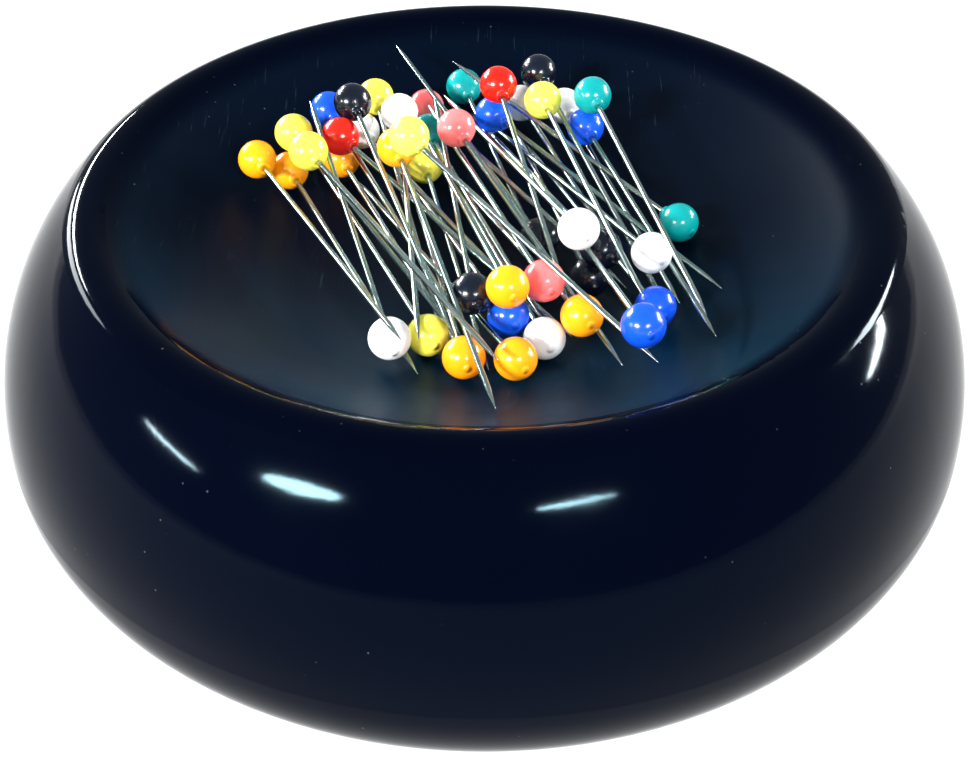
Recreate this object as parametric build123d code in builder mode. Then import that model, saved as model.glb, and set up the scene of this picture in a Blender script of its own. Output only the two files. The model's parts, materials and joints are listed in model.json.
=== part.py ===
from build123d import *
import os
from math import acos, asin, atan2, cos, degrees, hypot, radians, sin, sqrt

# Magnetic pin bowl: a round plastic bowl with a shallow dish on top, a ring magnet under
# the dish, a screwed base cover on rubber feet, and ball-headed pins lying in the dish.
# All lengths are in millimetres. +Z is up, and the origin is on the bowl's axis, on the table.

# Outside of the bowl
bowl_diameter = 108.0
shell_height = 34.0
foot_height = 1.0
wall = 2.5
bulge_height = 10.6
skirt_round = 13.2
shoulder_width = 11.8
rim_round = 3.5
edge_land = 1.4
edge_round = 0.4

# Dish. Its floor is rounder or flatter than one plain cap of the same depth by the floor share.
dish_depth = 10.0
dish_floor_share = 1.2229
dish_side_round = 38.0

# Base cover
cover_thickness = 2.4
cover_inset = 0.6
cover_gap = 0.15
cover_chamfer = 0.4

# Screws and their bosses
screw_inset = 10.3
boss_diameter = 7.0
screw_diameter = 2.9
screw_length = 12.0
screw_point = 1.6
screw_tip_diameter = 0.8
screw_head_diameter = 5.4
screw_head_height = 1.3
screw_slot_width = 0.8
screw_slot_length = 3.2
screw_slot_depth = 0.6
screw_gap = 0.05
screw_head_gap = 0.2
screw_count = 4

# Rubber feet
foot_inset = 10.3
foot_diameter = 10.0
foot_seat = 0.8
foot_gap = 0.1
foot_chamfer = 0.5
foot_count = 4

# Magnet, its steel back plate and the foam ring that presses them up
magnet_diameter = 50.0
magnet_bore = 22.0
magnet_height = 8.0
magnet_gap = 0.2
magnet_chamfer = 0.6
seat_inner_diameter = 42.0
collar_wall = 2.5
plate_thickness = 1.5
plate_bore = 6.0
foam_diameter = 47.0
foam_bore = 37.0
foam_height = 2.0

# Pins
pin_length = 41.0
head_diameter = 4.35
shank_diameter = 0.6
shank_grip = 3.2
neck_diameter = 1.5
neck_length = 0.25
point_length = 3.0
point_diameter = 0.08
moulding_gap = 0.01
pin_gap = 0.06
trial_height = 0.2
stack_height = 14.0
stations = 60

# Places of the pins, from the bottom of the pile up. Each row gives the head's colour, its place across
# (+X) and back (+Y) from the axis as shares of the rim crest's radius, and the heading of the point
# from the head, in degrees from +X towards +Y.
pile_shares = [
    ("yellow", -0.165, 0.345, -79),
    ("teal", -0.06, 0.68, -74),
    ("white", -0.344, 0.433, -57),
    ("white", 0.142, -0.478, 106),
    ("yellow", -0.305, 0.506, -77),
    ("coral", -0.166, 0.561, -55),
    ("black", 0.263, -0.2, 104),
    ("orange", 0.072, -0.58, 117),
    ("teal", -0.156, 0.438, -72),
    ("blue", 0.025, 0.468, -52),
    ("orange", -0.529, 0.254, -66),
    ("white", 0.104, 0.57, -70),
    ("orange", -0.394, 0.325, -67),
    ("white", 0.229, 0.591, -74),
    ("orange", -0.048, -0.572, 100),
    ("black", 0.141, -0.054, 116),
    ("blue", -0.432, 0.446, -67),
    ("coral", 0.141, -0.38, 109),
    ("blue", 0.278, 0.388, -73),
    ("black", 0.288, -0.224, 111),
    ("white", 0.412, -0.221, 117),
    ("yellow", -0.512, 0.277, -58),
    ("coral", -0.075, 0.244, -64),
    ("orange", 0.229, -0.471, 112),
    ("yellow", -0.134, -0.461, 112),
    ("teal", 0.507, 0.021, 131),
    ("red", -0.385, 0.244, -49),
    ("black", 0.152, 0.57, -71),
    ("red", 0.038, 0.445, -78),
    ("black", -0.354, 0.327, -72),
    ("white", -0.232, 0.371, -85),
    ("blue", 0.057, -0.413, 111),
    ("blue", 0.414, -0.366, 109),
    ("black", -0.029, -0.406, 97),
    ("orange", -0.225, 0.081, -74),
    ("orange", 0.054, -0.45, 106),
]

# Pins that lie on top of all the others, each free to be picked off
loose_shares = [
    ("yellow", -0.189, 0.014, -50),
    ("white", -0.222, -0.519, 106),
    ("blue", 0.352, -0.662, 105),
    ("teal", 0.293, 0.377, -76),
    ("yellow", 0.159, 0.403, -77),
    ("orange", -0.607, 0.215, -63),
    ("yellow", -0.455, 0.103, -58),
    ("white", 0.226, -0.274, 112),
]

# Places worked out from the sizes above. Radial places are distances from the bowl's axis.
bowl_radius = bowl_diameter / 2
bowl_height = foot_height + shell_height
rim_crest = bowl_radius - shoulder_width
rim_centre = bowl_height - rim_round
bulge_level = foot_height + bulge_height

# The shoulder arc is level with the bulge at its foot and touches the rim's arc inside.
shoulder_up = rim_centre - bulge_level
shoulder_round = (shoulder_width**2 + shoulder_up**2 - rim_round**2) / (2 * (shoulder_width - rim_round))
shoulder_centre = bowl_radius - shoulder_round
shoulder_turn = degrees(atan2(shoulder_up, rim_crest - shoulder_centre))
skirt_centre = bowl_radius - skirt_round
skirt_turn = degrees(asin(bulge_height / skirt_round))
skirt_edge = skirt_centre + skirt_round * cos(radians(skirt_turn))

# The dish is a flat floor arc about the axis, then a tighter side arc that meets the rim.
dish_floor_round = dish_floor_share * (rim_crest**2 + dish_depth**2) / (2 * dish_depth)
floor_centre = bowl_height - dish_depth + dish_floor_round
centre_reach = hypot(rim_crest, floor_centre - rim_centre)
floor_leg = dish_floor_round - dish_side_round
side_leg = dish_side_round + rim_round
lean = acos((centre_reach**2 + floor_leg**2 - side_leg**2) / (2 * centre_reach * floor_leg))
floor_turn = degrees(atan2(rim_crest, floor_centre - rim_centre) - lean)
side_across = floor_leg * sin(radians(floor_turn))
side_centre = floor_centre - floor_leg * cos(radians(floor_turn))
side_turn = degrees(atan2(rim_crest - side_across, side_centre - rim_centre))

# Inside, from the table up
cover_bottom = foot_height + cover_inset
cover_top = cover_bottom + cover_thickness
opening_radius = skirt_edge - edge_land
opening_turn = degrees(acos((opening_radius - skirt_centre) / (skirt_round - wall)))
opening_top = bulge_level - (skirt_round - wall) * sin(radians(opening_turn))
screw_reach = opening_radius - screw_inset
foot_reach = opening_radius - foot_inset
magnet_radius = magnet_diameter / 2
magnet_top = floor_centre - dish_floor_round - wall
magnet_bottom = magnet_top - magnet_height
plate_bottom = magnet_bottom - plate_thickness
foam_bottom = plate_bottom - foam_height
collar_inner = magnet_radius + magnet_gap
collar_outer = collar_inner + collar_wall


def skin(inset, low_turn):
    """The bowl's skin from low_turn degrees under its bulge to the middle of the dish, set in by inset."""
    CenterArc((skirt_centre, bulge_level), skirt_round - inset, -low_turn, low_turn)
    CenterArc((shoulder_centre, bulge_level), shoulder_round - inset, 0, shoulder_turn)
    CenterArc((rim_crest, rim_centre), rim_round - inset, shoulder_turn, 90 + side_turn - shoulder_turn)
    CenterArc((side_across, side_centre), dish_side_round + inset, side_turn - 90, floor_turn - side_turn)
    CenterArc((0, floor_centre), dish_floor_round + inset, floor_turn - 90, -floor_turn)


def dish_height(across, clearance):
    """Height of the centre of a ball of radius clearance that rests in the dish, across from the axis."""
    if across < (dish_floor_round - clearance) * sin(radians(floor_turn)):
        return floor_centre - sqrt((dish_floor_round - clearance) ** 2 - across**2)
    if across < side_across + (dish_side_round - clearance) * sin(radians(side_turn)):
        return side_centre - sqrt((dish_side_round - clearance) ** 2 - (across - side_across) ** 2)
    over = (rim_round + clearance) ** 2 - (across - rim_crest) ** 2
    return rim_centre + sqrt(max(over, 0))


def save(part, name):
    """Label a finished piece and write it."""
    part.label = name
    export_step(part, f"parts/{name}.step")


os.makedirs("parts", exist_ok=True)

# The hollow under the dish, with the magnet's seat and collar and the screw bosses left standing
with BuildPart() as hollow:
    with BuildSketch(Plane.XZ) as hollow_section:
        with BuildLine():
            skin(wall, opening_turn)
            Polyline(
                (0, floor_centre - dish_floor_round - wall),
                (0, foot_height),
                (opening_radius, foot_height),
                (opening_radius, opening_top),
            )
        make_face()
    revolve(axis=Axis.Z)
    with BuildSketch(Plane.XY.offset(magnet_top)) as seat:
        Circle(collar_outer)
        Circle(seat_inner_diameter / 2, mode=Mode.SUBTRACT)
    extrude(amount=dish_depth, mode=Mode.SUBTRACT)
    with BuildSketch(Plane.XY.offset(plate_bottom)) as collar:
        Circle(collar_outer)
        Circle(collar_inner, mode=Mode.SUBTRACT)
    extrude(amount=magnet_top - plate_bottom, mode=Mode.SUBTRACT)
    with BuildSketch(Plane.XY.offset(cover_top)) as bosses:
        with PolarLocations(screw_reach, screw_count, start_angle=180 / screw_count):
            Circle(boss_diameter / 2)
    extrude(amount=bowl_height - cover_top, mode=Mode.SUBTRACT)

with BuildPart() as bowl_shell:
    with BuildSketch(Plane.XZ) as shell_section:
        with BuildLine():
            skin(0, skirt_turn)
            Polyline(
                (0, floor_centre - dish_floor_round),
                (0, foot_height),
                (skirt_edge, foot_height),
            )
        make_face()
    revolve(axis=Axis.Z)
    add(hollow.part, mode=Mode.SUBTRACT)
    with BuildSketch(Plane.XY.offset(cover_top)) as pilot_holes:
        with PolarLocations(screw_reach, screw_count, start_angle=180 / screw_count):
            Circle(screw_diameter / 2 + screw_gap)
    extrude(amount=screw_length, mode=Mode.SUBTRACT)
    lower_edges = bowl_shell.edges().filter_by(GeomType.CIRCLE).group_by(Axis.Z)[0]
    fillet(lower_edges, radius=edge_round)
save(bowl_shell.part, "bowl_shell")

with BuildPart() as base_cover:
    with BuildSketch(Plane.XY.offset(cover_bottom)) as cover_disc:
        Circle(opening_radius - cover_gap)
    extrude(amount=cover_thickness)
    chamfer(base_cover.edges().group_by(Axis.Z)[0], length=cover_chamfer)
    with BuildSketch(Plane.XY.offset(cover_top)) as foam_support:
        Circle(foam_diameter / 2)
        Circle(foam_bore / 2, mode=Mode.SUBTRACT)
    extrude(amount=foam_bottom - cover_top)
    with BuildSketch(Plane.XY.offset(cover_bottom)) as foot_seats:
        with PolarLocations(foot_reach, foot_count):
            Circle(foot_diameter / 2 + foot_gap)
    extrude(amount=foot_seat, mode=Mode.SUBTRACT)
    with Locations(Plane.XY.offset(cover_bottom).rotated((180, 0, 0))):
        with PolarLocations(screw_reach, screw_count, start_angle=180 / screw_count):
            CounterBoreHole(
                radius=screw_diameter / 2 + screw_head_gap,
                counter_bore_radius=screw_head_diameter / 2 + screw_head_gap,
                counter_bore_depth=screw_head_height,
                depth=cover_thickness,
            )
save(base_cover.part, "base_cover")

# One screw, head down, with its cross slot in the head and a blunt point
with BuildPart() as screw:
    with BuildSketch(Plane.XZ) as screw_section:
        with BuildLine():
            Polyline(
                (0, cover_bottom),
                (screw_head_diameter / 2, cover_bottom),
                (screw_head_diameter / 2, cover_bottom + screw_head_height),
                (screw_diameter / 2, cover_bottom + screw_head_height),
                (screw_diameter / 2, cover_bottom + screw_head_height + screw_length - screw_point),
                (screw_tip_diameter / 2, cover_bottom + screw_head_height + screw_length),
                (0, cover_bottom + screw_head_height + screw_length),
                close=True,
            )
        make_face()
    revolve(axis=Axis.Z)
    with BuildSketch(Plane.XY.offset(cover_bottom)) as cross_slot:
        Rectangle(screw_slot_length, screw_slot_width)
        Rectangle(screw_slot_width, screw_slot_length)
    extrude(amount=screw_slot_depth, mode=Mode.SUBTRACT)

with BuildPart() as cover_screws:
    with PolarLocations(screw_reach, screw_count, start_angle=180 / screw_count):
        add(screw.part)
save(cover_screws.part, "cover_screws")

with BuildPart() as rubber_feet:
    with BuildSketch() as foot_discs:
        with PolarLocations(foot_reach, foot_count):
            Circle(foot_diameter / 2)
    extrude(amount=cover_bottom + foot_seat)
    chamfer(rubber_feet.edges().group_by(Axis.Z)[0], length=foot_chamfer)
save(rubber_feet.part, "rubber_feet")

with BuildPart() as ring_magnet:
    with BuildSketch(Plane.XY.offset(magnet_bottom)) as magnet_ring:
        Circle(magnet_radius)
        Circle(magnet_bore / 2, mode=Mode.SUBTRACT)
    extrude(amount=magnet_height)
    chamfer(ring_magnet.edges().filter_by(GeomType.CIRCLE), length=magnet_chamfer)
save(ring_magnet.part, "ring_magnet")

with BuildPart() as magnet_back_plate:
    with BuildSketch(Plane.XY.offset(plate_bottom)) as plate_disc:
        Circle(magnet_radius)
        Circle(plate_bore / 2, mode=Mode.SUBTRACT)
    extrude(amount=plate_thickness)
save(magnet_back_plate.part, "magnet_back_plate")

with BuildPart() as foam_ring:
    with BuildSketch(Plane.XY.offset(foam_bottom)) as foam_disc:
        Circle(foam_diameter / 2)
        Circle(foam_bore / 2, mode=Mode.SUBTRACT)
    extrude(amount=foam_height)
save(foam_ring.part, "foam_ring")

# Pins. A laid pin is the pair of its head's centre and its point, each an (x, y, z) place.
head_radius = head_diameter / 2
shank_radius = shank_diameter / 2
neck_radius = neck_diameter / 2
reach = pin_length - head_radius
shank_end = head_radius - shank_grip
ball = head_radius + pin_gap
rod = shank_radius + pin_gap


def bands(x, y, clearance, laid):
    """Heights over a point at which a ball of radius clearance would touch a pin that is laid."""
    found = []
    for (head_x, head_y, head_z), (point_x, point_y, point_z) in laid:
        near = head_radius + clearance
        apart = hypot(x - head_x, y - head_y)
        if apart < near:
            half = sqrt(near**2 - apart**2)
            found.append((head_z - half, head_z + half))
        run_x = point_x - head_x
        run_y = point_y - head_y
        share = ((x - head_x) * run_x + (y - head_y) * run_y) / (run_x**2 + run_y**2)
        share = min(max(share, 0), 1)
        near = shank_radius + clearance
        apart = hypot(x - head_x - share * run_x, y - head_y - share * run_y)
        if apart < near:
            middle = head_z + share * (point_z - head_z)
            half = sqrt(near**2 - apart**2) * reach / hypot(run_x, run_y)
            found.append((middle - half, middle + half))
    return found


def first_clear(height, taken):
    """The lowest height, from the given one upwards, that lies in none of the bands taken."""
    for low, high in sorted(taken):
        if low <= height < high:
            height = high
    return height


def lay(x, y, heading, laid, over):
    """Lay a pin as low as it goes at its place and heading, and return its head and its point.

    A pin laid over the others passes above all of them. Any other may also pass beneath.
    """
    taken = bands(x, y, ball, laid)
    lowest = dish_height(hypot(x, y), ball)
    if over:
        lowest = max([lowest] + [high for low, high in taken])
        taken = []
    head_z = lowest
    point_z = lowest
    first_station = int(stations * head_radius / reach) + 1
    for repeat in range(2):
        run = sqrt(reach**2 - (head_z - point_z) ** 2)
        floors = []
        blocks = []
        for station in range(first_station, stations + 1):
            share = station / stations
            spot_x = x + run * share * cos(heading)
            spot_y = y + run * share * sin(heading)
            floor = dish_height(hypot(spot_x, spot_y), rod)
            passed = bands(spot_x, spot_y, rod, laid)
            if over:
                floor = max([floor] + [high for low, high in passed])
            else:
                blocks += [(share, low, high) for low, high in passed]
            floors.append((share, floor))
        best = None
        for level in range(int(stack_height / trial_height)):
            trial = lowest + level * trial_height
            if any(low < trial < high for low, high in taken):
                continue
            down = max((floor - (1 - share) * trial) / share for share, floor in floors)
            shifted = []
            for share, low, high in blocks:
                shifted.append(((low - (1 - share) * trial) / share, (high - (1 - share) * trial) / share))
            down = first_clear(down, shifted)
            if best is None or trial + down < sum(best):
                best = (trial, down)
        head_z, point_z = best
    run = sqrt(reach**2 - (head_z - point_z) ** 2)
    return (x, y, head_z), (x + run * cos(heading), y + run * sin(heading), point_z)


def section_plane(head, point):
    """A plane through a pin's axis, with its origin at the head's centre and +Y towards the point."""
    along = (Vector(*point) - Vector(*head)).normalized()
    side = along.cross(Vector(0, 0, 1)).normalized()
    return Plane(origin=head, x_dir=side, z_dir=side.cross(along))


def pin_axis(head, point):
    """The line from a pin's head to its point."""
    return Axis(head, Vector(*point) - Vector(*head))


def make_heads(pins):
    """Ball heads with a short neck, each bored for its shank."""
    neck_turn = degrees(acos(neck_radius / head_radius))
    neck_end = head_radius + neck_length
    bore = shank_radius + moulding_gap
    with BuildPart() as heads:
        for head, point in pins:
            with BuildSketch(section_plane(head, point)):
                with BuildLine():
                    CenterArc((0, 0), head_radius, -90, 90 + neck_turn)
                    Polyline(
                        (neck_radius, head_radius * sin(radians(neck_turn))),
                        (neck_radius, neck_end),
                        (bore, neck_end),
                        (bore, shank_end - moulding_gap),
                        (0, shank_end - moulding_gap),
                        (0, -head_radius),
                    )
                make_face()
            revolve(axis=pin_axis(head, point))
    return heads.part


def make_shanks(pins):
    """Round steel shanks, from inside the head to a fine point."""
    with BuildPart() as shanks:
        for head, point in pins:
            with BuildSketch(section_plane(head, point)):
                with BuildLine():
                    Polyline(
                        (0, shank_end),
                        (shank_radius, shank_end),
                        (shank_radius, reach - point_length),
                        (point_diameter / 2, reach),
                        (0, reach),
                        close=True,
                    )
                make_face()
            revolve(axis=pin_axis(head, point))
    return shanks.part


laid_pins = []
for colour, across_share, back_share, turn in pile_shares:
    laid_pins.append(lay(across_share * rim_crest, back_share * rim_crest, radians(turn), laid_pins, False))
pile_count = len(laid_pins)
for colour, across_share, back_share, turn in loose_shares:
    laid_pins.append(lay(across_share * rim_crest, back_share * rim_crest, radians(turn), laid_pins, True))

# The pile keeps one node of shanks and one node of heads for each colour.
save(make_shanks(laid_pins[:pile_count]), "pile_shanks")
pile_colours = [colour for colour, across_share, back_share, turn in pile_shares]
for colour in sorted(set(pile_colours)):
    pins = [pin for pin, shade in zip(laid_pins, pile_colours) if shade == colour]
    save(make_heads(pins), f"pile_heads_{colour}")

# Each loose pin on top has a shank node and a head node of its own.
for number, pin in enumerate(laid_pins[pile_count:], start=1):
    save(make_shanks([pin]), f"loose_pin_{number}_shank")
    save(make_heads([pin]), f"loose_pin_{number}_head")
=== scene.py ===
import bpy
import bmesh
import json
from math import acos, cos, degrees, pi, radians, sin
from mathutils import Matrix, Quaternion, Vector


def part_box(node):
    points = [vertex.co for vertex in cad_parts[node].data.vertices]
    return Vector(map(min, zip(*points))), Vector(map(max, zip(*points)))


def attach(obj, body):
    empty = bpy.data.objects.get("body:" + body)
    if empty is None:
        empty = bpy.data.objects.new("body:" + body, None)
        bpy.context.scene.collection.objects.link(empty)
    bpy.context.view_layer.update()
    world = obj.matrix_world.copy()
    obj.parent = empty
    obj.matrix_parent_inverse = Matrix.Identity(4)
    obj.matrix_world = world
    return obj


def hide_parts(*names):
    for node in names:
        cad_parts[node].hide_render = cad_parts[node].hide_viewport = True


# Magnetic pin bowl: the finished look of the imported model.
# Lengths are in metres, +Z is up, and -Y is the front.

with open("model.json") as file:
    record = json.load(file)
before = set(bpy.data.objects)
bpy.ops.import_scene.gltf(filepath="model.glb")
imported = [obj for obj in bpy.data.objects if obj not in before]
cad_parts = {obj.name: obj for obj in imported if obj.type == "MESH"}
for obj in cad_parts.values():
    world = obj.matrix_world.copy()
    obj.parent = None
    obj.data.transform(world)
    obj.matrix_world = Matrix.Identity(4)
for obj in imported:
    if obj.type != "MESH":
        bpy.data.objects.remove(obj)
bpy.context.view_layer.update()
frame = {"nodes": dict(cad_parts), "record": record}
nodes = frame["nodes"]

# Height of the bowl's rim
bowl_height = 0.035

# Sizes of the pins
pin_length = 0.041
head_radius = 0.002175
neck_radius = 0.00075
neck_length = 0.00025
neck_fillet = 0.00012
head_bore = 0.00031
shank_radius = 0.0003
shank_grip = 0.0032
point_length = 0.003
point_radius = 0.00004
gate_radius = 0.00032
gate_height = 0.00003
bore_gap = 0.00001
taper_shares = ((0.25, 0.86), (0.5, 0.62), (0.75, 0.36), (0.92, 0.17))
head_squash = 0.012
streak_length = 0.02

# Sizes of the feet
foot_radius = 0.005
foot_top = 0.0024
foot_round = 0.0005
dimple_radius = 0.003
dimple_depth = 0.0002

# Reach and height between which the rim's gloss gives way to the dish's satin
satin_reach = 0.0375
gloss_reach = 0.0405
gloss_height = 0.0235
satin_height = 0.0245

# Places back from the axis where the dish's navy starts to turn to a painted teal sheen, and where it
# is all painted teal sheen
painted_sheen_start = 0.004
painted_sheen_full = -0.036

# Radius of the path that a lathed outline follows, and the distance that closes its seam
path_radius = 1e-6
weld_distance = 2e-6

# First number of the random draws for the heads, and the number for the feet
head_seed = 40
feet_seed = 90


class Wire:
    """A wire in a material. Sums of wires add Math nodes, and node() adds any other node."""

    def __init__(self, tree, socket=None):
        self.tree = tree
        self.socket = socket

    def node(self, kind, settings={}, inputs={}, output=0):
        """Add a node: first its settings, then the values or wires of its sockets."""
        made = self.tree.nodes.new(kind)
        for name, value in settings.items():
            if name == "stops":
                elements = made.color_ramp.elements
                elements.remove(elements[1])
                elements[0].position, elements[0].color = value[0]
                for place, colour in value[1:]:
                    elements.new(place).color = colour
            else:
                setattr(made, name, value)
        for name, value in inputs.items():
            found = [s for s in made.inputs if s.identifier == name]
            socket = found[0] if found else made.inputs[name]
            if isinstance(value, Wire):
                self.tree.links.new(value.socket, socket)
            else:
                socket.default_value = value
        return Wire(self.tree, made.outputs[output])

    def math(self, operation, first, second=0.0):
        return self.node("ShaderNodeMath", {"operation": operation}, {0: first, 1: second})

    def __add__(self, other):
        return self.math("ADD", self, other)

    def __sub__(self, other):
        return self.math("SUBTRACT", self, other)

    def __mul__(self, other):
        return self.math("MULTIPLY", self, other)

    def __rsub__(self, other):
        return self.math("SUBTRACT", other, self)

    __radd__ = __add__
    __rmul__ = __mul__


def coordinates(place):
    """The three numbers of a place, each as a wire."""
    split = place.node("ShaderNodeSeparateXYZ", {}, {"Vector": place})
    return [Wire(place.tree, socket) for socket in split.socket.node.outputs]


def step(wire, low, high):
    """0 below low, 1 above high, and smooth between them."""
    limits = {"Value": wire, "From Min": low, "From Max": high}
    return wire.node("ShaderNodeMapRange", {"interpolation_type": "SMOOTHSTEP"}, limits)


def blend(mask, first, second):
    """The first colour where the mask is 0, the second where it is 1."""
    sockets = {"Factor_Float": mask, "A_Color": first, "B_Color": second}
    return mask.node("ShaderNodeMix", {"data_type": "RGBA"}, sockets, 2)


def grain(place, size, detail=2.0, roughness=0.5, distortion=0.0):
    """Noise between 0 and 1 whose features are about size metres across."""
    sockets = {"Vector": place, "Scale": 1 / size, "Detail": detail, "Roughness": roughness}
    sockets["Distortion"] = distortion
    return place.node("ShaderNodeTexNoise", {}, sockets)


def cells(place, size, feature="F1"):
    """Distance to the nearest of points scattered about size metres apart."""
    sockets = {"Vector": place, "Scale": 1 / size}
    return place.node("ShaderNodeTexVoronoi", {"feature": feature}, sockets)


def stretched(place, turn, scale):
    """Places turned about +Z and then scaled, for patterns that run in one direction."""
    sockets = {"Vector": place, "Rotation": (0, 0, radians(turn)), "Scale": scale}
    return place.node("ShaderNodeMapping", {"vector_type": "POINT"}, sockets)


def relief(height, distance, strength=1.0, under=None):
    """A bump from a height of 0 to 1 over a depth in metres."""
    sockets = {"Height": height, "Distance": distance, "Strength": strength}
    if under:
        sockets["Normal"] = under
    return height.node("ShaderNodeBump", {}, sockets)


def material(name, fixed, varying):
    """A material whose shader takes fixed values and, from varying(), wires by socket name."""
    made = bpy.data.materials.new(name)
    made.use_nodes = True
    tree = made.node_tree
    shader = tree.nodes["Principled BSDF"]
    for socket, value in fixed.items():
        shader.inputs[socket].default_value = value
    place = Wire(tree).node("ShaderNodeTexCoord", {}, {}, 3)
    for socket, wire in varying(place).items():
        tree.links.new(wire.socket, shader.inputs[socket])
    return made


def shell_finish(place):
    """Polished outside and rim, satin dish with hairline scratches from the pins, a little dust, and a
    painted teal sheen over the dish's navy towards the front.
    """
    across, back, height = coordinates(place)
    reach = place.math("SQRT", across * across + back * back)
    dish = (1 - step(reach, satin_reach, gloss_reach)) * step(height, gloss_height, satin_height)
    hairs = [
        step(grain(stretched(place, turn, (9, 0.35, 1)), 0.004, 3.0, 0.7), 0.66, 0.72)
        for turn in (18, 31, -24)
    ]
    scratches = place.math("MAXIMUM", hairs[0], place.math("MAXIMUM", hairs[1], hairs[2]))
    worn = scratches * step(grain(place, 0.022), 0.42, 0.7) * dish
    smudge = step(grain(place, 0.016, 3.0), 0.5, 0.75)
    dust = (1 - step(cells(place, 0.0021), 0.03, 0.07)) * step(grain(place, 0.012), 0.5, 0.6)
    mottle = grain(place, 0.03, 3.0)
    outside = blend(mottle, (0.0003, 0.0005, 0.0030, 1), (0.0004, 0.0010, 0.0048, 1))
    deep = blend(mottle, (0.0004, 0.0017, 0.0062, 1), (0.0006, 0.0024, 0.0080, 1))
    # The teal is a painted sheen: the dish's navy turns to it towards the front.
    teal = blend(mottle, (0.0002, 0.0085, 0.0200, 1), (0.0004, 0.0115, 0.0260, 1))
    satin = blend(step(back, painted_sheen_start, painted_sheen_full), deep, teal)
    colour = blend(dish, outside, satin)
    colour = blend(worn * 0.10, colour, (0.10, 0.16, 0.20, 1))
    colour = blend(dust * 0.18, colour, (0.16, 0.19, 0.20, 1))
    gloss = 0.07 + smudge * 0.05
    roughness = gloss + dish * 0.30 + worn * 0.10 + dust * 0.3
    peel = grain(place, 0.0016, 2.0) * 0.4 + grain(place, 0.011, 1.0) * 3.0
    skin = relief(peel, 0.000012)
    return {
        "Base Color": colour,
        "Roughness": roughness,
        "Normal": relief(1 - worn, 0.000006, 0.3, skin),
    }


def cover_finish(place):
    """Spark-textured plastic, greyer where it has been handled."""
    texture = grain(place, 0.0005, 3.0, 0.65)
    handled = step(grain(place, 0.018, 4.0), 0.45, 0.7)
    colour = blend(handled, (0.0060, 0.0110, 0.0200, 1), (0.0120, 0.0190, 0.0300, 1))
    return {
        "Base Color": colour,
        "Roughness": 0.62 - handled * 0.12 + texture * 0.08,
        "Normal": relief(texture, 0.00006, 0.8),
    }


def rubber_finish(place):
    """Matt rubber with dust pressed into it."""
    dust = step(grain(place, 0.0011, 4.0, 0.7), 0.52, 0.7)
    colour = blend(dust * 0.5, (0.014, 0.014, 0.015, 1), (0.07, 0.068, 0.064, 1))
    return {
        "Base Color": colour,
        "Roughness": 0.82 + dust * 0.12,
        "Normal": relief(grain(place, 0.0004, 3.0), 0.00004, 0.7),
    }


def zinc_finish(place):
    """Zinc plating with a faint yellow and blue bloom and fine brushing."""
    bloom = grain(place, 0.004, 3.0)
    brushed = grain(stretched(place, 20, (1, 14, 1)), 0.0012, 3.0)
    colour = blend(bloom, (0.56, 0.59, 0.63, 1), (0.64, 0.61, 0.53, 1))
    return {
        "Base Color": colour,
        "Roughness": 0.26 + brushed * 0.16,
        "Normal": relief(brushed, 0.00001, 0.5),
    }


def ferrite_finish(place):
    """Sintered ferrite, dark and fine-grained, with a few chips."""
    chips = 1 - step(cells(place, 0.003), 0.06, 0.12)
    colour = blend(grain(place, 0.0008, 4.0), (0.028, 0.028, 0.030, 1), (0.055, 0.055, 0.058, 1))
    return {
        "Base Color": blend(chips * 0.6, colour, (0.10, 0.10, 0.105, 1)),
        "Roughness": 0.62 + chips * 0.2,
        "Normal": relief(grain(place, 0.0005, 3.0) - chips, 0.00008, 0.7),
    }


def foam_finish(place):
    """Closed-cell foam, with painted shade down in its pores."""
    pores_and_painted_shade = cells(place, 0.0006)
    # Darker down in the pore hollows: painted shade.
    colour = blend(pores_and_painted_shade, (0.018, 0.018, 0.019, 1), (0.06, 0.06, 0.06, 1))
    return {
        "Base Color": colour,
        "Roughness": 0.9 - pores_and_painted_shade * 0.05,
        "Normal": relief(pores_and_painted_shade, 0.00015, 0.9),
    }


def wire_finish(place):
    """Nickel-plated drawn wire: streaks along it, warm brown patches that vary from pin to pin, and a
    tone from pin to pin that carries a painted green-teal reflection.
    """
    along = place.node("ShaderNodeAttribute", {"attribute_name": "wrap"}, {}, 1)
    tone = place.node("ShaderNodeAttribute", {"attribute_name": "tone"}, {}, 2)
    streaks = grain(along, 0.25, 3.0)
    # Patches where the wire turns warm brown and a little rougher.
    warm_brown_patches = step(grain(place, 0.006, 3.0), 0.45, 0.75)
    # Both colours carry a painted green-teal reflection; the tone between them varies at random from
    # pin to pin.
    tone_with_painted_teal = blend(tone, (0.34, 0.47, 0.45, 1), (0.56, 0.62, 0.60, 1))
    return {
        "Base Color": blend(warm_brown_patches * 0.35, tone_with_painted_teal, (0.42, 0.38, 0.33, 1)),
        "Roughness": 0.13 + streaks * 0.12 + warm_brown_patches * 0.08,
        "Normal": relief(streaks, 0.000008, 0.6),
    }


def head_finish(deep, pale):
    """Moulded plastic of one colour: paler and deeper heads, faint swirls and a fine skin."""

    def varying(place):
        tone = place.node("ShaderNodeAttribute", {"attribute_name": "tone"}, {}, 2)
        swirl = grain(place, 0.0014, 3.0, 0.6, 0.8)
        scuff = step(grain(place, 0.0007, 3.0, 0.7), 0.6, 0.75)
        return {
            "Base Color": blend(tone * 0.55 + swirl * 0.45, deep, pale),
            "Roughness": 0.16 + swirl * 0.06 + scuff * 0.12,
            "Normal": relief(grain(place, 0.00045, 2.0) + swirl, 0.000018, 0.7),
        }

    return varying


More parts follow.
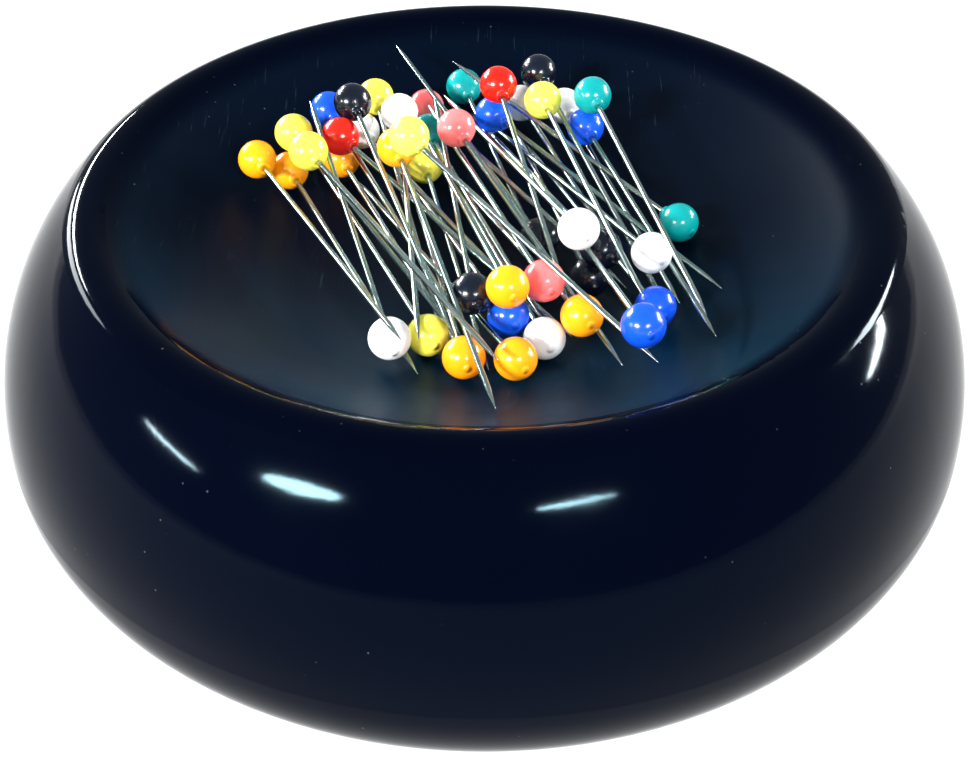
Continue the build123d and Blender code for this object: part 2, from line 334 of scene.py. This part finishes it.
plastic = {"Specular IOR Level": 0.05, "Specular Tint": (0.50, 0.86, 1.0, 1)}
matt = {"Specular IOR Level": 0.35}
metal = {"Metallic": 1.0}
head_colours = {
    "black": ((0.0015, 0.0030, 0.0090, 1), (0.0040, 0.0070, 0.0160, 1)),
    "blue": ((0.0030, 0.0500, 0.5200, 1), (0.0070, 0.0900, 0.7200, 1)),
    "coral": ((0.8800, 0.1050, 0.1200, 1), (0.9700, 0.1900, 0.1850, 1)),
    "orange": ((0.9200, 0.2700, 0.0030, 1), (1.0000, 0.4000, 0.0080, 1)),
    "red": ((0.5600, 0.0080, 0.0025, 1), (0.7800, 0.0160, 0.0050, 1)),
    "teal": ((0.0010, 0.2300, 0.2350, 1), (0.0030, 0.3300, 0.3300, 1)),
    "white": ((0.8200, 0.8500, 0.8600, 1), (0.9000, 0.9150, 0.9200, 1)),
    "yellow": ((0.7600, 0.6800, 0.0500, 1), (0.8800, 0.8300, 0.1200, 1)),
}
finishes = {
    "shell_plastic": material("dish and shell plastic", plastic, shell_finish),
    "cover_plastic": material("textured cover plastic", matt, cover_finish),
    "foot_rubber": material("foot rubber", matt, rubber_finish),
    "screw_steel": material("zinc-plated screw", metal, zinc_finish),
    "plate_steel": material("zinc-plated sheet", metal, zinc_finish),
    "magnet_ferrite": material("ferrite", matt, ferrite_finish),
    "foam": material("closed-cell foam", matt, foam_finish),
    "pin_steel": material("nickel-plated pin wire", metal, wire_finish),
}
for colour, (deep, pale) in head_colours.items():
    finishes[f"head_{colour}"] = material(f"{colour} head plastic", {}, head_finish(deep, pale))

slots = {row["node"]: row["material_slot"] for row in frame["record"]["subparts"]}
body_rows = frame["record"]["behaviour"]["bodies"].items()
bodies = {name: body for body, names in body_rows for name in names}
for name, piece in nodes.items():
    piece.data.materials.clear()
    piece.data.materials.append(finishes[slots[name]])


def wired(tree, kind, settings={}, inputs={}):
    """Add a geometry node: its settings, then the values or sockets of its inputs."""
    made = tree.nodes.new(kind)
    for name, value in settings.items():
        setattr(made, name, value)
    for name, value in inputs.items():
        if isinstance(value, bpy.types.NodeSocket):
            tree.links.new(value, made.inputs[name])
        else:
            made.inputs[name].default_value = value
    return made


def new_tree(name, inputs):
    """An empty geometry tree with named inputs, its input node and its output node."""
    tree = bpy.data.node_groups.new(name, "GeometryNodeTree")
    tree.interface.new_socket("Geometry", in_out="INPUT", socket_type="NodeSocketGeometry")
    tree.interface.new_socket("Geometry", in_out="OUTPUT", socket_type="NodeSocketGeometry")
    for title, kind in inputs.items():
        tree.interface.new_socket(title, in_out="INPUT", socket_type=f"NodeSocket{kind}")
    given = tree.nodes.new("NodeGroupInput").outputs
    return tree, given, tree.nodes.new("NodeGroupOutput").inputs["Geometry"]


def lathe_tree():
    """Turns an outline about the Z axis: its X is the distance from the axis, its -Y the height."""
    tree, given, result = new_tree("lathe", {"Steps": "Int", "Weld": "Float", "Finish": "Material"})
    outline = wired(tree, "GeometryNodeMeshToCurve", {}, {"Mesh": given["Geometry"]})
    path = wired(tree, "GeometryNodeCurvePrimitiveCircle", {}, {"Resolution": given["Steps"]})
    path.inputs["Radius"].default_value = path_radius
    curves = {"Curve": path.outputs[0], "Profile Curve": outline.outputs[0]}
    swept = wired(tree, "GeometryNodeCurveToMesh", {}, curves)
    seam = {"Geometry": swept.outputs[0], "Distance": given["Weld"]}
    joined = wired(tree, "GeometryNodeMergeByDistance", {}, seam)
    outward = wired(tree, "GeometryNodeFlipFaces", {}, {"Mesh": joined.outputs[0]})
    smooth = wired(tree, "GeometryNodeSetShadeSmooth", {}, {"Geometry": outward.outputs[0]})
    real = wired(tree, "GeometryNodeRealizeInstances", {}, {"Geometry": smooth.outputs[0]})
    finish = {"Geometry": real.outputs[0], "Material": given["Finish"]}
    dressed = wired(tree, "GeometryNodeSetMaterial", {}, finish)
    tree.links.new(dressed.outputs[0], result)
    return tree


def scatter_tree():
    """Sets a copy of one shape on each point, turned to its heading and rolled at random about it."""
    inputs = {"Shape": "Object", "Squash": "Float", "Seed": "Int", "Finish": "Material"}
    tree, given, result = new_tree("copies on their places", inputs)
    number = {"data_type": "FLOAT"}
    vector = {"data_type": "FLOAT_VECTOR"}
    seed = {"Seed": given["Seed"]}
    origin = {"transform_space": "ORIGINAL"}
    shape = wired(tree, "GeometryNodeObjectInfo", origin, {"Object": given["Shape"]})
    heading = wired(tree, "GeometryNodeInputNamedAttribute", vector, {"Name": "heading"})
    along = {"Vector": heading.outputs["Attribute"]}
    turned = wired(tree, "FunctionNodeAlignRotationToVector", {"axis": "Z"}, along)
    roll = wired(tree, "FunctionNodeRandomValue", number, seed)
    roll.inputs[3].default_value = 2 * pi
    spin = wired(tree, "ShaderNodeCombineXYZ", {}, {"Z": roll.outputs[1]})
    turns = {"Rotation": turned.outputs[0], "Rotate By": spin.outputs[0]}
    rolled = wired(tree, "FunctionNodeRotateRotation", {"rotation_space": "LOCAL"}, turns)
    less = wired(tree, "ShaderNodeMath", {"operation": "SUBTRACT"}, {1: given["Squash"]})
    less.inputs[0].default_value = 1.0
    sizes = wired(tree, "FunctionNodeRandomValue", vector, seed)
    tree.links.new(less.outputs[0], sizes.inputs[0])
    sizes.inputs[1].default_value = (1.0, 1.0, 1.0)
    copies = {
        "Points": given["Geometry"],
        "Instance": shape.outputs["Geometry"],
        "Rotation": rolled.outputs[0],
        "Scale": sizes.outputs[0],
    }
    placed = wired(tree, "GeometryNodeInstanceOnPoints", {}, copies)
    tone = wired(tree, "FunctionNodeRandomValue", number, seed)
    on_each = {"data_type": "FLOAT", "domain": "INSTANCE"}
    stored = {"Geometry": placed.outputs[0], "Name": "tone", "Value": tone.outputs[1]}
    toned = wired(tree, "GeometryNodeStoreNamedAttribute", on_each, stored)
    real = wired(tree, "GeometryNodeRealizeInstances", {}, {"Geometry": toned.outputs[0]})
    finish = {"Geometry": real.outputs[0], "Material": given["Finish"]}
    dressed = wired(tree, "GeometryNodeSetMaterial", {}, finish)
    tree.links.new(dressed.outputs[0], result)
    return tree


def baked(name, mesh, tree, values):
    """The plain mesh that a geometry tree makes of a mesh, as a new object."""
    piece = bpy.data.objects.new(name, mesh)
    bpy.context.scene.collection.objects.link(piece)
    modifier = piece.modifiers.new(tree.name, "NODES")
    modifier.node_group = tree
    for item in tree.interface.items_tree:
        if item.in_out == "INPUT" and item.name in values:
            modifier[item.identifier] = values[item.name]
    graph = bpy.context.evaluated_depsgraph_get()
    result = bpy.data.meshes.new_from_object(
        piece.evaluated_get(graph), preserve_all_data_layers=True, depsgraph=graph
    )
    piece.modifiers.clear()
    piece.data = result
    result.name = name
    return piece


def outline_mesh(name, points):
    """A line of (across, height) points, flat in the XY plane, with the height down it."""
    mesh = bpy.data.meshes.new(name)
    edges = [(i, i + 1) for i in range(len(points) - 1)]
    mesh.from_pydata([(across, -height, 0.0) for across, height in points], edges, [])
    return mesh


def arc(centre, radius, start, end, steps):
    """Points of an arc, with its angles in degrees from +X towards +Z."""
    turns = [radians(start + (end - start) * i / steps) for i in range(steps + 1)]
    return [(centre[0] + radius * cos(t), centre[1] + radius * sin(t)) for t in turns]


def solids(node):
    """The separate solids of a CAD node, each a list of its corners, in the same order every time."""
    grid = bmesh.new()
    grid.from_mesh(nodes[node].data)
    bmesh.ops.remove_doubles(grid, verts=grid.verts, dist=1e-7)
    left = dict.fromkeys(grid.verts)
    found = []
    while left:
        group = []
        queue = [left.popitem()[0]]
        while queue:
            corner = queue.pop()
            group.append(corner.co.copy())
            for edge in corner.link_edges:
                other = edge.other_vert(corner)
                if other in left:
                    del left[other]
                    queue.append(other)
        found.append(group)
    grid.free()
    return found


def middle(points):
    """The middle of the box round some points."""
    return Vector([(min(p[i] for p in points) + max(p[i] for p in points)) / 2 for i in range(3)])


def pin_places(shank_node):
    """The head centre and heading of each pin, from its shank's solid."""
    places = []
    for corners in solids(shank_node):
        one = max(corners, key=lambda corner: (corner - corners[0]).length)
        other = max(corners, key=lambda corner: (corner - one).length)
        ends = [[c for c in corners if (c - end).length < 2.1 * shank_radius] for end in (one, other)]
        ends.sort(key=lambda ring: max((c - middle(ring)).length for c in ring))
        point, butt = middle(ends[0]), middle(ends[1])
        heading = (point - butt).normalized()
        places.append((butt + heading * (shank_grip - head_radius), heading))
    return places


def place_mesh(name, places):
    """A mesh of bare points that carry their headings."""
    mesh = bpy.data.meshes.new(name)
    mesh.from_pydata([centre for centre, heading in places], [], [])
    attribute = mesh.attributes.new("heading", "FLOAT_VECTOR", "POINT")
    for row, (centre, heading) in zip(attribute.data, places):
        row.vector = heading
    return mesh


lathe = lathe_tree()
scatter = scatter_tree()


def turned(name, points, steps, finish):
    """A shape of revolution from its outline."""
    values = {"Steps": steps, "Weld": weld_distance, "Finish": finish}
    return baked(name, outline_mesh(name, points), lathe, values)


def scattered(name, places, shape, squash, seed, finish):
    """Copies of a shape on their places, as one plain mesh."""
    values = {"Shape": shape, "Squash": squash, "Seed": seed, "Finish": finish}
    return baked(name, place_mesh(name, places), scatter, values)


def ride_for(piece, node):
    """Let a piece stand for a CAD node: put it on that node's body and hide the node."""
    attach(piece, bodies[node])
    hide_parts(node)


def wrap(piece, radius, length):
    """Store a place on a shape, in radii across it and in lengths along it, for its material."""
    attribute = piece.data.attributes.new("wrap", "FLOAT_VECTOR", "POINT")
    for row, corner in zip(attribute.data, piece.data.vertices):
        row.vector = (corner.co.x / radius, corner.co.y / radius, corner.co.z / length)


# Head of a pin: its centre at the origin, its neck towards +Z, a gate mark at its crown
neck_turn = degrees(acos(neck_radius / head_radius))
neck_end = head_radius + neck_length
bore_end = head_radius - shank_grip - bore_gap
gate_turn = degrees(acos(2 * gate_radius / head_radius))
gate_level = -head_radius * sin(radians(gate_turn))
head_outline = (
    [(0, gate_level - gate_height), (gate_radius, gate_level - gate_height), (gate_radius, gate_level)]
    + arc((0, 0), head_radius, -gate_turn, neck_turn, 22)
    + arc((neck_radius - neck_fillet, neck_end - neck_fillet), neck_fillet, 0, 90, 4)
    + [(head_bore, neck_end), (head_bore, bore_end), (0, bore_end)]
)
head_shape = turned("head shape", head_outline, 32, finishes["head_white"])
wrap(head_shape, head_radius, head_radius)

# Shank of a pin, from inside the head to the point
shank_start = head_radius - shank_grip
shank_end = pin_length - head_radius
taper_start = shank_end - point_length
rings = 14
shank_outline = [(0, shank_start)]
for ring in range(rings + 1):
    shank_outline.append((shank_radius, shank_start + (taper_start - shank_start) * ring / rings))
for share, width in taper_shares:
    shank_outline.append((shank_radius * width, taper_start + point_length * share))
shank_outline += [(point_radius, shank_end), (0, shank_end)]
shank_shape = turned("shank shape", shank_outline, 16, finishes["pin_steel"])
wrap(shank_shape, shank_radius, streak_length)

# The pins, each where the CAD has it
shank_nodes = [name for name in nodes if slots[name] == "pin_steel"]
head_nodes = [name for name in nodes if slots[name].startswith("head_")]
places = {name: pin_places(name) for name in shank_nodes}
every_place = [place for name in shank_nodes for place in places[name]]
for seed, name in enumerate(sorted(shank_nodes)):
    piece = scattered(f"{name}_wire", places[name], shank_shape, 0.0, seed, finishes["pin_steel"])
    ride_for(piece, name)
for seed, name in enumerate(sorted(head_nodes)):
    centres = [middle(corners) for corners in solids(name)]
    held = [min(every_place, key=lambda place: (place[0] - centre).length) for centre in centres]
    finish = finishes[slots[name]]
    piece = scattered(f"{name}_ball", held, head_shape, head_squash, head_seed + seed, finish)
    ride_for(piece, name)
for shape in (head_shape, shank_shape):
    bpy.data.objects.remove(shape)

# Rubber feet: rounded below, with a shallow dimple
foot_outline = (
    [(0, dimple_depth), (dimple_radius, dimple_depth), (dimple_radius + dimple_depth, 0)]
    + arc((foot_radius - foot_round, foot_round), foot_round, -90, 0, 5)
    + [(foot_radius, foot_top), (0, foot_top)]
)
foot_shape = turned("foot shape", foot_outline, 48, finishes["foot_rubber"])
foot_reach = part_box("rubber_feet")[1].x - foot_radius
foot_places = []
for x, y in ((1, 0), (0, 1), (-1, 0), (0, -1)):
    foot_places.append((Vector((x * foot_reach, y * foot_reach, 0)), Vector((0, 0, 1))))
rubber = finishes["foot_rubber"]
feet = scattered("rubber_feet_set", foot_places, foot_shape, 0.0, feet_seed, rubber)
ride_for(feet, "rubber_feet")
bpy.data.objects.remove(foot_shape)


# The floor shows white to the camera and in reflections, and keeps the bowl's shadow
def table_material():
    made = bpy.data.materials.new("pale table top")
    made.use_nodes = True
    tree = made.node_tree
    paper = tree.nodes["Principled BSDF"]
    place = Wire(tree).node("ShaderNodeTexCoord", {}, {}, 3)
    pale = blend(grain(place, 0.05, 4.0), (0.86, 0.86, 0.86, 1), (0.90, 0.90, 0.90, 1))
    tree.links.new(pale.socket, paper.inputs["Base Color"])
    paper.inputs["Roughness"].default_value = 0.9
    paper.inputs["Specular IOR Level"].default_value = 0.1
    rays = Wire(tree).node("ShaderNodeLightPath")
    seen = [Wire(tree, rays.socket.node.outputs[name]) for name in kinds_of_sight]
    mirrored = seen[0].math("MAXIMUM", seen[1], seen[2])
    share = seen[0].math("MAXIMUM", seen[0], mirrored) * backdrop_share
    glow = Wire(tree).node("ShaderNodeEmission", {}, {"Strength": backdrop_glow})
    sockets = {"Fac": share, 1: Wire(tree, paper.outputs[0]), 2: glow}
    mixed = Wire(tree).node("ShaderNodeMixShader", {}, sockets)
    tree.links.new(mixed.socket, tree.nodes["Material Output"].inputs["Surface"])
    return made


kinds_of_sight = ("Is Camera Ray", "Is Glossy Ray", "Is Transmission Ray")
backdrop_share = 0.8
backdrop_glow = 1.12
table_half = 4.0
table_mesh = bpy.data.meshes.new("table_top")
corners = [(-1, -1), (1, -1), (1, 1), (-1, 1)]
table_mesh.from_pydata([(x * table_half, y * table_half, 0) for x, y in corners], [], [(0, 1, 2, 3)])
table_mesh.materials.append(table_material())
table = bpy.data.objects.new("table_top", table_mesh)
bpy.context.scene.collection.objects.link(table)


def lamp(name, azimuth, elevation, width, height, glow, roll=0.0, distance=0.7):
    """A soft oval lamp that faces the bowl. Azimuth is from +Y towards +X, in degrees."""
    turn, rise = radians(azimuth), radians(elevation)
    away = Vector((sin(turn) * cos(rise), cos(turn) * cos(rise), sin(rise)))
    light = bpy.data.lights.new(name, "AREA")
    light.shape = "ELLIPSE"
    light.size = width
    light.size_y = height
    light.energy = glow * width * height * pi
    box = bpy.data.objects.new(name, light)
    box.location = Vector((0, 0, bowl_height)) + away * distance
    box.rotation_mode = "QUATERNION"
    box.rotation_quaternion = away.to_track_quat("Z", "Y") @ Quaternion((0, 0, 1), radians(roll))
    bpy.context.scene.collection.objects.link(box)


lamp("front left tube", -138, 26.5, 0.21, 0.052, 280, 12)
lamp("front right tube", 159, 30.5, 0.20, 0.017, 280)
lamp("left tube", -107, 15, 0.20, 0.012, 220)
lamp("right window", 68, 21, 0.40, 0.075, 75)
lamp("right window below", 76, 10, 0.20, 0.026, 130)
lamp("left window", -38, 20, 0.40, 0.040, 130, 30)
lamp("left window glow", -52, 16, 0.46, 0.10, 24, 30)

world = bpy.data.worlds.new("studio")
bpy.context.scene.world = world
world.use_nodes = True
surround = world.node_tree.nodes["Background"]
surround.inputs["Color"].default_value = (0.80, 0.96, 1.0, 1)
surround.inputs["Strength"].default_value = 0.34

# The photograph's view, from above the front; the photograph is 969 by 760, a render size not set here
camera_down = 38.5
camera_place = (0, -0.1503, 0.1274)
camera_data = bpy.data.cameras.new("camera")
camera_data.sensor_width = 36.0
camera_data.lens = 60.56
camera = bpy.data.objects.new("camera", camera_data)
camera.location = camera_place
camera.rotation_euler = (radians(90 - camera_down), 0, 0)
camera_data.clip_start = 0.01
bpy.context.scene.collection.objects.link(camera)
bpy.context.scene.camera = camera
bpy.context.scene.view_settings.view_transform = "Standard"
